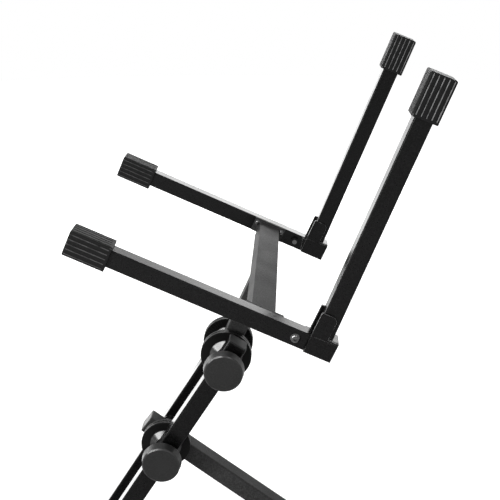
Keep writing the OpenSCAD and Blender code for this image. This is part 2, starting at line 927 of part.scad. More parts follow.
// Bracket on the rear end of a base arm: two cheeks, floor, rear wall, stop plate and tongue
module hinge_bracket(side) {
    inside = 2 * cheek_in + 2 * eps;
    height = arm_tube + stop_height;
    stop_length = bracket_rear - stop_front - plate / 2;
    stop_bottom = -arm_foot_drop - stop_play - plate;
    color(frame_black)
        in_head()
            on_side(side)
                difference() {
                    union() {
                        plate_y(-cheek_out, -cheek_in)
                            cheek_outline();
                        plate_y(cheek_in, cheek_out) {
                            cheek_outline();
                            inner_cheek_tab();
                        }
                        translate([-cheek_front, -cheek_in - eps, -arm_tube])
                            cube([bracket_rear + cheek_front, inside, plate]);
                        translate([bracket_rear - plate, -cheek_in - eps, -arm_tube])
                            cube([plate, inside, height]);
                        at_hinge()
                            translate([stop_front - hinge_s, -cheek_in - eps, stop_bottom])
                                cube([stop_length, inside, plate]);
                        translate([-cheek_front, -cheek_in - eps, -arm_tube])
                            cube([plate, inside, arm_tube - wall_drop]);
                        translate([-cheek_front - tongue_length, 0, -arm_half])
                            tongue(arm_bore - 2 * tongue_play);
                    }
                    translate([hinge_s, 0, hinge_v])
                        rod_y(hinge_pin_d, -2 * cheek_out, 2 * cheek_out);
                    translate([-bracket_bolt_forward, 0, arm_bolt_v])
                        rod_y(bracket_bolt_d + 2 * pin_play, -arm_tube, arm_tube);
                }
}

module bracket_bolts() {
    color(zinc)
        for (side = [near, far])
            in_head()
                on_side(side)
                    translate([-bracket_bolt_forward, -arm_half, arm_bolt_v])
                        face_out(near)
                            button_screw(
                                bracket_bolt_d, bracket_head_d, bracket_head_h,
                                arm_tube + bracket_bolt_d
                            );
}

module bracket_nuts() {
    color(zinc)
        for (side = [near, far])
            in_head()
                on_side(side)
                    translate([-bracket_bolt_forward, arm_half, arm_bolt_v])
                        rotate([-90, 0, 0])
                            hex_nut(
                                nut_flats_ratio * bracket_bolt_d,
                                nut_height_ratio * bracket_bolt_d,
                                bracket_bolt_d + 2 * pin_play
                            );
}

module hinge_pin(side) {
    color(frame_black)
        in_head()
            on_side(side)
                translate([hinge_s, 0, hinge_v])
                    rod_y(hinge_pin_d, -cheek_out, cheek_out);
}

// Side view of a back arm tube with its rounded toe, pivot at the origin
module arm_side_view() {
    toe = arm_toe_radius;
    polygon(concat(
        arc([toe - arm_half, toe - arm_foot_drop], toe, 180, 270),
        [[arm_half, -arm_foot_drop], [arm_half, back_arm_top], [-arm_half, back_arm_top]]
    ));
}

module back_arm(side) {
    color(frame_black)
        in_head()
            on_side(side)
                at_hinge()
                    difference() {
                        intersection() {
                            translate([0, 0, -arm_foot_drop])
                                square_tube(back_arm_length, arm_tube, arm_wall, arm_corner);
                            plate_y(-arm_tube, arm_tube)
                                arm_side_view();
                        }
                        rod_y(hinge_pin_d + 2 * pin_play, -arm_tube, arm_tube);
                    }
}

module back_arm_cap(side) {
    color(rubber_black)
        in_head()
            on_side(side)
                at_hinge()
                    translate([0, 0, back_arm_top + cap_end - cap_length])
                        arm_cap();
}

front_leg_tube(near);  // front_leg_tube_near
front_leg_tube(far);  // front_leg_tube_far
front_leg_plug(near);  // front_leg_plug_near
front_leg_plug(far);  // front_leg_plug_far
foot_tube(front_foot_x, front_foot_length);  // front_foot_bar
foot_cap(front_foot_x, front_foot_length, near);  // front_foot_cap_near
foot_cap(front_foot_x, front_foot_length, far);  // front_foot_cap_far
at_tilt_axis() outer_disc(near, front_leg_angle);  // tilt_clutch_outer_near
at_tilt_axis() outer_disc(far, front_leg_angle);  // tilt_clutch_outer_far
at_leg_axis() outer_disc(near, front_leg_angle);  // leg_clutch_outer_near
at_leg_axis() outer_disc(far, front_leg_angle);  // leg_clutch_outer_far
at_tilt_axis() clutch_bolt();  // tilt_clutch_bolt
at_leg_axis() clutch_bolt();  // leg_clutch_bolt
at_tilt_axis() clutch_springs();  // tilt_clutch_springs
at_leg_axis() clutch_springs();  // leg_clutch_springs
at_tilt_axis() knob_washer();  // tilt_knob_washer
at_leg_axis() knob_washer();  // leg_knob_washer
rear_leg_tube();
rear_leg_plug();
foot_tube(rear_foot_x, rear_foot_length);  // rear_foot_bar
foot_cap(rear_foot_x, rear_foot_length, near);  // rear_foot_cap_near
foot_cap(rear_foot_x, rear_foot_length, far);  // rear_foot_cap_far
at_leg_axis() inner_disc(near, -rear_leg_angle);  // leg_clutch_inner_near
at_leg_axis() inner_disc(far, -rear_leg_angle);  // leg_clutch_inner_far
head_post();
head_post_plug();
cross_bar();
cross_bar_bolts();
cross_bar_nuts();
base_arm(near);  // base_arm_near
base_arm(far);  // base_arm_far
base_arm_cap(near);  // base_arm_cap_near
base_arm_cap(far);  // base_arm_cap_far
hinge_bracket(near);  // hinge_bracket_near
hinge_bracket(far);  // hinge_bracket_far
bracket_bolts();
bracket_nuts();
hinge_pin(near);  // hinge_pin_near
hinge_pin(far);  // hinge_pin_far
at_tilt_axis() inner_disc(near, post_turn);  // tilt_clutch_inner_near
at_tilt_axis() inner_disc(far, post_turn);  // tilt_clutch_inner_far
back_arm(near);  // back_arm_near
back_arm_cap(near);  // back_arm_cap_near
back_arm(far);  // back_arm_far
back_arm_cap(far);  // back_arm_cap_far
at_tilt_axis() knob();  // tilt_knob
at_tilt_axis() knob_nut();  // tilt_knob_nut
at_leg_axis() knob();  // leg_knob
at_leg_axis() knob_nut();  // leg_knob_nut
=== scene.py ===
# %% [markdown]
# # A tilt-back amplifier stand, dressed for a photograph
# The steel frame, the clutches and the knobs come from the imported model, at their real size. This file
# gives them their finish: powder coat on the tubes, moulded rubber on the caps, filled nylon on the
# clutches and grained plastic on the knobs. It also models what the construction model leaves out: the
# bushes at the far side of the leg joint, the shoes of the hinge brackets and the weld beads.
# Everything is in metres, in the model's own frame: +X to the back, +Y to the far side, +Z up.

# %% Load the frame
import json
import math

import bmesh
import bpy
from mathutils import Matrix, Vector


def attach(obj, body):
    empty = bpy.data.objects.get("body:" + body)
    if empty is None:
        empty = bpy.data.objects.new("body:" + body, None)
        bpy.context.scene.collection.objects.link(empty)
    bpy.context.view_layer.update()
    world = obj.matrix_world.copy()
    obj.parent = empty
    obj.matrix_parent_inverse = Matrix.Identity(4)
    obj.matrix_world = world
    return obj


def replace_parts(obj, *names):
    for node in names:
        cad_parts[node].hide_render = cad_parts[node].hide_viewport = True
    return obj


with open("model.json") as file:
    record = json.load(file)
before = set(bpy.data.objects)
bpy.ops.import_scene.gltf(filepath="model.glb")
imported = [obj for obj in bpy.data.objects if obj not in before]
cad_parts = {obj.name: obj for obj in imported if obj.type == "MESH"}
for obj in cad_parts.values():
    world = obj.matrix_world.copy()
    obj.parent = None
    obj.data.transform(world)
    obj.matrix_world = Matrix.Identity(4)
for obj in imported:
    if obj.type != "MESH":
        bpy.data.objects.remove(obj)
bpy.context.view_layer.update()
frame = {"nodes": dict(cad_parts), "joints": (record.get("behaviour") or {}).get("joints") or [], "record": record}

MM = 0.001

# %% [markdown]
# ## The camera
# The photograph was taken from the near side, a little above the stand and close to it, so near edges
# look longer than far ones. A camera can be set by eye, but then every shape looks a little wrong and
# none can be measured against the picture. This one was fitted to the edges of the tubes. Its lens is
# 950 pixels long for a frame of 500, which is 68.4 mm on a 36 mm sensor, and its place is given from
# the tilt axis.


# %% Camera
def joint_place(name):
    return Vector(next(joint["pos_m"] for joint in frame["joints"] if joint["name"] == name))


TILT_AXIS = joint_place("head_tilt")
CAMERA_PLACE = TILT_AXIS + Vector((0.0946, -1.386, 0.6370))
CAMERA_TURN = math.radians(2.41)
CAMERA_DIP = math.radians(18.81)
SENSOR = 36.0
FOCAL_PIXELS = 950.0
FRAME_PIXELS = 500.0


def make_camera():
    data = bpy.data.cameras.new("camera")
    data.sensor_width = SENSOR
    data.lens = SENSOR * FOCAL_PIXELS / FRAME_PIXELS
    camera = bpy.data.objects.new("camera", data)
    bpy.context.scene.collection.objects.link(camera)
    camera.location = CAMERA_PLACE
    camera.rotation_euler = (math.radians(90) - CAMERA_DIP, 0, CAMERA_TURN)
    bpy.context.scene.camera = camera
    return camera


print("lens", round(make_camera().data.lens, 2))

# %% [markdown]
# ## Reading and writing nodes
# A material is a small tree of nodes. It could be drawn by hand in the shader editor, but a script
# builds the same tree every time. One helper adds a node, sets what is fixed on it and links what comes
# from another node, so that each finish below reads as a short recipe. The others are the small nodes
# that come back most: sums, ramps from 0 to 1, and noise of a given size.


# %% Node helpers
def add(tree, kind, inputs=None, **settings):
    made = tree.nodes.new(kind)
    for name, value in settings.items():
        setattr(made, name, value)
    for name, value in (inputs or {}).items():
        if isinstance(value, bpy.types.NodeSocket):
            tree.links.new(value, made.inputs[name])
        else:
            made.inputs[name].default_value = value
    return made


def grey(level):
    return (level, level, level, 1)


def math_node(tree, operation, first, second):
    return add(tree, "ShaderNodeMath", {0: first, 1: second}, operation=operation).outputs[0]


def vector_node(tree, operation, first, second=(0, 0, 0)):
    return add(tree, "ShaderNodeVectorMath", {0: first, 1: second}, operation=operation).outputs


def ramp(tree, value, low, high):
    made = add(tree, "ShaderNodeMapRange", {"Value": value, "From Min": low, "From Max": high})
    return made.outputs["Result"]


def spread(tree, value, low, high):
    made = add(tree, "ShaderNodeMapRange", {"Value": value, "To Min": low, "To Max": high})
    return made.outputs["Result"]


def noise(tree, size, detail, roughness=0.5):
    place = add(tree, "ShaderNodeTexCoord").outputs["Object"]
    scale = math_node(tree, "DIVIDE", 1.0, size)
    settings = {"Vector": place, "Scale": scale, "Detail": detail, "Roughness": roughness}
    return add(tree, "ShaderNodeTexNoise", settings).outputs["Fac"]


print("white is", grey(1))

# %% [markdown]
# ## The floor
# The stand was photographed on white. A curved backdrop would do for that, but a round floor under a
# white world is simpler and looks right from every side. The floor carries the shadow, with a faint
# fibre in its colour as on background paper. It gets a little glow of its own: none on the camera's
# side of the stand, so that the shadow stays, and full further out, so that it runs into the white
# behind it without an edge.

# %% Floor
FLOOR_RADIUS = 6.0
FLOOR_SIDES = 96
FLOOR_COLOUR = 0.86
FLOOR_DRIFT = 0.01
FIBRE_SIZE = 25 * MM
PAPER_ROUGHNESS = 0.9
PAPER_GLOSS = 0.1
LIFT_BEHIND = 0.55
LIFT_FAR = 1.0
BEHIND_REACH = (-0.1, 0.4)
FAR_REACH = (1.0, 3.0)


def seen_directly(tree):
    path = add(tree, "ShaderNodeLightPath").outputs
    glossy = math_node(tree, "MAXIMUM", path["Is Camera Ray"], path["Is Glossy Ray"])
    return math_node(tree, "MAXIMUM", glossy, path["Is Transmission Ray"])


def floor_lift(tree):
    place = add(tree, "ShaderNodeTexCoord").outputs["Object"]
    distance = vector_node(tree, "LENGTH", place)["Value"]
    depth = add(tree, "ShaderNodeSeparateXYZ", {0: place}).outputs["Y"]
    behind = math_node(tree, "MULTIPLY", ramp(tree, depth, *BEHIND_REACH), LIFT_BEHIND)
    far = math_node(tree, "MULTIPLY", ramp(tree, distance, *FAR_REACH), LIFT_FAR)
    return math_node(tree, "MAXIMUM", behind, far)


def floor_material():
    material = bpy.data.materials.new("studio_floor")
    material.use_nodes = True
    tree = material.node_tree
    paper = tree.nodes["Principled BSDF"].inputs
    paper["Roughness"].default_value = PAPER_ROUGHNESS
    paper["Specular IOR Level"].default_value = PAPER_GLOSS
    paper["Emission Color"].default_value = grey(1)
    fibre = noise(tree, FIBRE_SIZE, detail=2.0)
    level = spread(tree, fibre, FLOOR_COLOUR - FLOOR_DRIFT, FLOOR_COLOUR + FLOOR_DRIFT)
    tree.links.new(level, paper["Base Color"])
    glow = math_node(tree, "MULTIPLY", seen_directly(tree), floor_lift(tree))
    tree.links.new(glow, paper["Emission Strength"])
    return material


def make_floor():
    shape = bmesh.new()
    bmesh.ops.create_circle(shape, cap_ends=True, segments=FLOOR_SIDES, radius=FLOOR_RADIUS)
    mesh = bpy.data.meshes.new("floor")
    shape.to_mesh(mesh)
    shape.free()
    mesh.materials.append(floor_material())
    floor = bpy.data.objects.new("floor", mesh)
    bpy.context.scene.collection.objects.link(floor)


make_floor()
print("floor", 2 * FLOOR_RADIUS, "m across")

# %% [markdown]
# ## The world
# A white world lights everything evenly, which flattens black paint to grey. So the world is plain
# white only to the camera and to reflections. For diffuse light it is dimmer, black paint stays black,
# and the soft panels do the modelling.

# %% World
WORLD_FILL = 0.2


def make_world():
    world = bpy.data.worlds.new("studio")
    world.use_nodes = True
    tree = world.node_tree
    background = tree.nodes["Background"].inputs
    background["Color"].default_value = grey(1)
    tree.links.new(spread(tree, seen_directly(tree), WORLD_FILL, 1.0), background["Strength"])
    bpy.context.scene.world = world


make_world()
bpy.context.scene.view_settings.view_transform = "Standard"
print("world fill", WORLD_FILL)

# %% [markdown]
# ## Soft panels
# Black paint shows only what it mirrors, so most panels stand where a surface mirrors them to the
# camera. The tops of the base arms mirror the back panel, and the front faces of the back arms mirror
# the far panel below it. The key panel is a long strip at the front left, rolled until it lies along
# the arc that a cone mirrors: it draws the crescents on the clutches and the knobs, and the glint on
# the bolt heads. The grooves of the level caps catch the front panel above the camera, and the plug of
# the rear leg catches the low one. The top panel draws a thin light line along upper edges, and the
# side panel softens the left.
#
# A spot lamp would leave hot dots in the paint, where a panel leaves a soft shape. A panel's brightness
# is what a mirror would show of it, where 1 is white, so a small panel can be very bright and still
# light the stand only a little.

# %% Panels
PANELS = {
    "back_panel": dict(place=(0.6, 3.0, 0.79), width=3.0, height=0.98, brightness=5.0),
    "key_panel": dict(place=(-1.27, -2.14, 0.98), width=2.4, height=0.4, brightness=26.0, roll=40),
    "front_panel": dict(place=(0.96, -2.4, 1.7), width=1.0, height=0.5, brightness=6.0),
    "top_panel": dict(place=(-0.3, 0.2, 2.2), width=1.2, height=0.6, brightness=4.0),
    "side_panel": dict(place=(-2.1, 2.1, 0.25), width=1.4, height=0.8, brightness=8.0),
    "low_panel": dict(place=(-0.33, 0.40, -0.33), width=0.35, height=0.35, brightness=2.5),
    "far_panel": dict(place=(-0.33, 2.4, -0.1), width=0.75, height=0.8, brightness=1.8),
}


def soft_panel(name, place, width, height, brightness, roll=0):
    data = bpy.data.lights.new(name, "AREA")
    data.shape = "RECTANGLE"
    data.size = width
    data.size_y = height
    data.energy = brightness * math.pi * width * height
    lamp = bpy.data.objects.new(name, data)
    bpy.context.scene.collection.objects.link(lamp)
    lamp.location = TILT_AXIS + Vector(place)
    facing = (-Vector(place)).to_track_quat("-Z", "Y").to_matrix()
    lamp.rotation_euler = (facing @ Matrix.Rotation(math.radians(roll), 3, "Z")).to_euler()
    lamp.visible_camera = False
    return lamp


for panel_name, panel in PANELS.items():
    print(panel_name, round(soft_panel(panel_name, **panel).data.energy, 1), "W")

# %% [markdown]
# ## Shared effects
# Four effects come back in more than one finish. Each is one group of nodes with named inputs, placed
# in a material with that material's own values. The first is the grain: a fine noise that makes a
# surface uneven, and a wide one, the cloud, that makes its colour and roughness drift. An image would
# need every piece to be unwrapped. Noise on object coordinates needs no unwrapping, and has the same
# size on every piece.


# %% Surface grain
def new_group(name, inputs, outputs):
    tree = bpy.data.node_groups.new(name, "ShaderNodeTree")
    for label, kind, value in inputs:
        socket = tree.interface.new_socket(label, in_out="INPUT", socket_type=kind)
        socket.default_value = value
    for label, kind in outputs:
        tree.interface.new_socket(label, in_out="OUTPUT", socket_type=kind)
    return tree, tree.nodes.new("NodeGroupInput").outputs, tree.nodes.new("NodeGroupOutput").inputs


CLOUD_SPREAD = (0.3, 0.7)


def surface_grain_group():
    tree, given, result = new_group(
        "surface_grain",
        [("Grain Size", "NodeSocketFloat", 1 * MM), ("Cloud Size", "NodeSocketFloat", 50 * MM)],
        [("Height", "NodeSocketFloat"), ("Cloud", "NodeSocketFloat")],
    )
    fine = noise(tree, given["Grain Size"], detail=2.0, roughness=0.6)
    cloud = noise(tree, given["Cloud Size"], detail=3.0)
    tree.links.new(fine, result["Height"])
    tree.links.new(ramp(tree, cloud, *CLOUD_SPREAD), result["Cloud"])
    return tree


GRAIN = surface_grain_group()
print("group", GRAIN.name)

# %% [markdown]
# ## Pale edges: wear and painted highlight
# Paint wears first where two faces meet. The paler colour along edges is partly that wear and partly a
# painted highlight, which stands in for the bright line where an edge catches the light. The Bevel node
# gives the direction that a face would have if its edges were rounded, and where that differs from the
# true one there is an edge. This works on a mesh of any fineness, while a mask from the mesh's own
# points would need a very dense one. The wear comes in patches, as it does from handling, and so does
# the painted highlight. The rounded direction also goes on to the shader, so that edges catch the light.

# %% Pale edges: wear and painted highlight
EDGE_TURN = (0.02, 0.2)
EDGE_PATCHES = (0.48, 0.62)
BEVEL_SAMPLES = 4


# A mask of the pale edges: partly wear, partly painted highlight.
def worn_and_highlit_edge_group():
    tree, given, result = new_group(
        "worn_and_highlit_edge",
        [("Reach", "NodeSocketFloat", 0.8 * MM), ("Patch Size", "NodeSocketFloat", 20 * MM),
         ("Evenness", "NodeSocketFloat", 0.0)],
        [("Mask", "NodeSocketFloat"), ("Normal", "NodeSocketVector")],
    )
    true_normal = add(tree, "ShaderNodeNewGeometry").outputs["Normal"]
    bevel = add(tree, "ShaderNodeBevel", {"Radius": given["Reach"]}, samples=BEVEL_SAMPLES)
    rounded = bevel.outputs["Normal"]
    likeness = vector_node(tree, "DOT_PRODUCT", rounded, true_normal)["Value"]
    edge = ramp(tree, math_node(tree, "SUBTRACT", 1.0, likeness), *EDGE_TURN)
    patches = math_node(tree, "ADD", noise(tree, given["Patch Size"], detail=4.0), given["Evenness"])
    tree.links.new(math_node(tree, "MULTIPLY", edge, ramp(tree, patches, *EDGE_PATCHES)), result["Mask"])
    tree.links.new(rounded, result["Normal"])
    return tree


WORN_AND_HIGHLIT_EDGE = worn_and_highlit_edge_group()
print("group", WORN_AND_HIGHLIT_EDGE.name)

# %% [markdown]
# ## Settled dust
# A trace of dust lies on what faces up, in soft patches. Only the upward part of the surface's
# direction counts, so it stays on top when a part is turned. It could be painted on, but then it would
# turn with the part.

# %% Settled dust
FACING_UP = (0.2, 1.0)
DUST_PATCHES = (0.35, 0.8)


def settled_dust_group():
    tree, given, result = new_group(
        "settled_dust",
        [("Patch Size", "NodeSocketFloat", 40 * MM)],
        [("Mask", "NodeSocketFloat")],
    )
    normal = add(tree, "ShaderNodeNewGeometry").outputs["Normal"]
    up = ramp(tree, add(tree, "ShaderNodeSeparateXYZ", {0: normal}).outputs["Z"], *FACING_UP)
    patches = ramp(tree, noise(tree, given["Patch Size"], detail=5.0), *DUST_PATCHES)
    tree.links.new(math_node(tree, "MULTIPLY", up, patches), result["Mask"])
    return tree


DUST = settled_dust_group()
print("group", DUST.name)

# %% [markdown]
# ## A painted highlight on the flanks of the ribs
# The rubber caps have grip grooves along them. The flank of each groove that faces up and forward is
# painted paler than the rest, a painted highlight that shows as a bright line where light would catch
# it. A mask painted onto the surface would have to follow every groove. But the grooves are real
# geometry, so the flank can be found by its direction alone, once that is turned back by the angle of
# the arm. The painted highlight comes and goes in small patches.

# %% Painted flank highlight
FLANK_LEAN = 0.5
FLANK_WIDTH = 0.1
FLANK_PATCHES = (0.2, 0.6)


def near_value(tree, value, aim, width):
    made = add(tree, "ShaderNodeMath", {0: value, 1: aim, 2: width}, operation="COMPARE")
    return made.outputs[0]


# A mask of the groove flanks that get the painted highlight.
def flank_highlight_group():
    tree, given, result = new_group(
        "painted_flank_highlight",
        [("Turn", "NodeSocketFloat", 0.0), ("Patch Size", "NodeSocketFloat", 10 * MM)],
        [("Mask", "NodeSocketFloat")],
    )
    normal = add(tree, "ShaderNodeTexCoord").outputs["Normal"]
    turned = add(tree, "ShaderNodeVectorRotate", {"Vector": normal, "Angle": given["Turn"]},
                 rotation_type="Y_AXIS")
    parts = add(tree, "ShaderNodeSeparateXYZ", {0: turned.outputs["Vector"]}).outputs
    flank = near_value(tree, math_node(tree, "SUBTRACT", parts["Z"], parts["X"]), FLANK_LEAN, FLANK_WIDTH)
    patches = ramp(tree, noise(tree, given["Patch Size"], detail=2.0), *FLANK_PATCHES)
    tree.links.new(math_node(tree, "MULTIPLY", flank, patches), result["Mask"])
    return tree


FLANK_HIGHLIGHT = flank_highlight_group()
print("group", FLANK_HIGHLIGHT.name)

# %% [markdown]
# ## Places that differ
# Three finishes change from one place to another on the same piece. The cone behind each clutch disc is
# a turned, polished surface, and so is the slope around a knob's face. The end of a hinge pin is
# pressed flush into its bracket, and the painted highlight along the bracket's edges is left out around
# it. Each place could be a material of its own on chosen faces, but here it is a mask made from the
# axis it lies around, or from the way it faces. That needs no choosing by hand, and still holds when a
# size in the construction model changes.

# %% Places
LEG_AXIS = joint_place("leg_spread")
HINGE_AXIS = joint_place("back_arm_near_fold")
CONE_RADIUS = 26 * MM
PIN_REACH = 7 * MM
SLOPE_FACING = math.cos(math.radians(30))
SLOPE_WIDTH = 0.05
ACROSS_THE_AXIS = (1, 0, 1)
FAR_AWAY = 1.0


def near_axes(tree, axes, reach):
    place = add(tree, "ShaderNodeTexCoord").outputs["Object"]
    nearest = FAR_AWAY
    for axis in axes:
        offset = vector_node(tree, "SUBTRACT", place, axis)["Vector"]
        flat = vector_node(tree, "MULTIPLY", offset, ACROSS_THE_AXIS)["Vector"]
        nearest = math_node(tree, "MINIMUM", vector_node(tree, "LENGTH", flat)["Value"], nearest)
    return math_node(tree, "SUBTRACT", 1.0, ramp(tree, nearest, reach - MM, reach))


def on_cone(tree):
    return near_axes(tree, (TILT_AXIS, LEG_AXIS), CONE_RADIUS)


# Keeps the painted edge highlight off the ring around the hinge pin.
def off_the_pin(tree):
    return math_node(tree, "SUBTRACT", 1.0, near_axes(tree, (HINGE_AXIS,), PIN_REACH))


def on_slope(tree):
    normal = add(tree, "ShaderNodeTexCoord").outputs["Normal"]
    outward = add(tree, "ShaderNodeSeparateXYZ", {0: normal}).outputs["Y"]
    return near_value(tree, outward, -SLOPE_FACING, SLOPE_WIDTH)


print("cone", CONE_RADIUS, "m, hinge axis", [round(value, 4) for value in HINGE_AXIS])

# %% [markdown]
# ## How a finish is built
# Each finish could have a tree of its own, but most of it would be the same in all of them. So they
# share one build: a base colour that is paler where it is speckled or dusty, on rib flanks that get a
# painted highlight, and along edges that are partly rubbed and partly given a painted highlight; a
# roughness that drifts a little from place to place; and a bump from the grain. What makes one a powder
# coat and another a rubber is the size of the grain, the depth of the bump and the gloss. The colour is
# laid in layers: the material itself, then the painted highlight on rib flanks, then the pale edges,
# then dust on top.

# %% Colour of a finish
CLOUD_DARK = 0.85
CLOUD_LIGHT = 1.15
SPECKLE_DEPTH = (0.4, 0.75)
DUST_COLOUR = 0.3


def mix_colours(tree, factor, first, second):
    made = add(tree, "ShaderNodeMix", {0: factor, 6: first, 7: second}, data_type="RGBA")
    return made.outputs[2]


def plain_shade(tree, recipe, grain):
    colour = recipe["colour"]
    clouded = mix_colours(tree, grain["Cloud"], grey(colour * CLOUD_DARK), grey(colour * CLOUD_LIGHT))
    dots = ramp(tree, grain["Height"], *SPECKLE_DEPTH)
    return mix_colours(tree, dots, clouded, grey(colour + recipe["speckle"]))


# Paints the highlight on the rib flanks: a paler colour where the flank mask is.
def with_flank_highlight(tree, recipe, shade):
    if "rib_light" not in recipe:
        return shade
    flank = add(tree, "ShaderNodeGroup", {"Turn": recipe["rib_turn"]}, node_tree=FLANK_HIGHLIGHT)
    return mix_colours(tree, flank.outputs["Mask"], shade, grey(recipe["rib_light"]))


# Pales the edges, partly as wear and partly as a painted highlight, then lays dust on top.
def used_shade(tree, recipe, shade, edge_outputs):
    pale_edge = math_node(tree, "MULTIPLY", edge_outputs["Mask"], recipe["rub"])
    if "worn_where" in recipe:
        pale_edge = math_node(tree, "MULTIPLY", pale_edge, recipe["worn_where"](tree))
    worn = mix_colours(tree, pale_edge, shade, grey(recipe["rub_colour"]))
    settled = add(tree, "ShaderNodeGroup", node_tree=DUST).outputs["Mask"]
    dust = math_node(tree, "MULTIPLY", settled, recipe["dust"])
    return mix_colours(tree, dust, worn, grey(DUST_COLOUR))


print("a cloud takes a colour from", CLOUD_DARK, "to", CLOUD_LIGHT, "of its value")

# %% [markdown]
# ## Putting a finish together
# A recipe says only what is its own, and takes the rest from the usual values. Gloss is the same all
# over a surface, so it is set on the shader itself. Where a place is polished, it gets the shader's
# second, clear layer. That layer is smoother than what is under it, so it gives a sharp highlight and
# leaves the colour alone.

# %% Finish builder
# The edge values set how far edges are paled: partly wear, partly painted highlight.
USUAL = dict(rub=0.3, dust=0.02, cloud_size=50 * MM, drift=0.05, edge=0.8 * MM, metallic=0.0, speckle=0.0,
             evenness=0.0)
POLISH_ROUGHNESS = 0.18
POLISH_IOR = 1.6


def add_polish(tree, shader, mask, level):
    tree.links.new(math_node(tree, "MULTIPLY", mask(tree), level), shader["Coat Weight"])
    shader["Coat Roughness"].default_value = POLISH_ROUGHNESS
    shader["Coat IOR"].default_value = POLISH_IOR


def finish(name, **own):
    recipe = {**USUAL, **own}
    material = bpy.data.materials.new(name)
    material.use_nodes = True
    tree = material.node_tree
    shader = tree.nodes["Principled BSDF"].inputs
    shader["Specular IOR Level"].default_value = recipe["gloss"]
    shader["Metallic"].default_value = recipe["metallic"]
    sizes = {"Grain Size": recipe["grain_size"], "Cloud Size": recipe["cloud_size"]}
    grain = add(tree, "ShaderNodeGroup", sizes, node_tree=GRAIN).outputs
    # Settings for the pale edges, partly wear and partly painted highlight.
    pale_edge = {"Reach": recipe["edge"], "Evenness": recipe["evenness"]}
    edge_outputs = add(tree, "ShaderNodeGroup", pale_edge, node_tree=WORN_AND_HIGHLIT_EDGE).outputs
    shade = with_flank_highlight(tree, recipe, plain_shade(tree, recipe, grain))
    tree.links.new(used_shade(tree, recipe, shade, edge_outputs), shader["Base Color"])
    roughness, drift = recipe["roughness"], recipe["drift"]
    drifting = spread(tree, grain["Cloud"], roughness - drift, roughness + drift)
    tree.links.new(drifting, shader["Roughness"])
    heights = {"Distance": recipe["bump"], "Height": grain["Height"], "Normal": edge_outputs["Normal"]}
    tree.links.new(add(tree, "ShaderNodeBump", heights).outputs["Normal"], shader["Normal"])
    if "polish" in recipe:
        add_polish(tree, shader, recipe["polish"], recipe["polish_level"])
    return material


FINISHES = {}
print("usual values", USUAL)

# %% [markdown]
# ## Powder coat
# The tubes are dusted with dry paint powder and baked, which leaves a thick even skin. The arms and
# legs have a smooth satin coat. The cross bar, the post and the rear leg have a coarser one, which
# scatters the light of the back panel. The edges of the hinge brackets are painted pale, a painted
# highlight that stands in for the bright line where light catches them. Black paint sends back only
# about one percent of the light. A paler colour under weaker light would look the same here, but wrong
# in another room, so the colour is very low and the look comes from gloss and grain.

# %% Powder coats
SATIN = dict(colour=0.002, grain_size=2.2 * MM, bump=0.03 * MM, dust=0.015, gloss=0.09, speckle=0.005)
FINISHES["frame_paint"] = finish("powder_coat", **SATIN, roughness=0.22, rub_colour=0.05)
# The bracket coat's pale edges are a painted highlight, left out around the hinge pin.
FINISHES["bracket_paint"] = finish("bracket_coat", **SATIN, roughness=0.24, rub_colour=0.4, rub=0.8,
                                   evenness=0.12, worn_where=off_the_pin)
FINISHES["coarse_coat"] = finish("coarse_powder_coat", colour=0.016, roughness=0.62, grain_size=2.0 * MM,
                                 bump=0.22 * MM, rub_colour=0.06, dust=0.03, gloss=0.12, speckle=0.02)
print("coats", [material.name for material in FINISHES.values()])

# %% [markdown]
# ## Moulded rubber
# The caps are moulded from black rubber with a fine dull skin. Dark stripes could stand for their ribs,
# but the grooves are in the model, so the finish adds only a painted highlight on their flanks. The caps
# of the base arms and of the back arms are the same moulding. They differ only in the angle that their
# ribs lie at and in how bright the painted highlight on their flanks is. The foot caps stand on the
# floor and get no painted flank highlight, so they have the plain rubber.

# %% Rubber
ARM_TILT = math.radians(23.7)
BACK_ARM_LEAN = math.radians(2.3)
RUBBER = dict(colour=0.002, roughness=0.56, grain_size=1.6 * MM, bump=0.03 * MM, rub_colour=0.1,
              gloss=0.11, edge=0.4 * MM, speckle=0.004)
FINISHES["rubber"] = finish("moulded_rubber", **RUBBER)
# The painted highlight on the groove flanks is brighter on the caps of the back arms than on the base arms.
FINISHES["base_arm_rubber"] = finish("ribbed_rubber_level", **RUBBER, rib_turn=-ARM_TILT, rib_light=0.06)
FINISHES["back_arm_rubber"] = finish("ribbed_rubber_upright", **RUBBER, rib_turn=BACK_ARM_LEAN - ARM_TILT,
                                     rib_light=0.15)
print("ribs lie at", round(math.degrees(ARM_TILT), 1), "degrees on the base arms")

# %% [markdown]
# ## Plastics
# The clutch discs are nylon filled with glass fibre, dark and smooth, with a polished cone. The knobs
# are moulded with a fine grain, which hides fingermarks, and have a polished slope around the face. The
# cone and the slope could be pieces of their own, but the real ones are one moulding with the rest, so
# here they are polished places in one finish. The tube plugs are plain and a little paler than the
# discs. The plug of the rear leg sits where hands hold the leg, which has brought up its gloss.

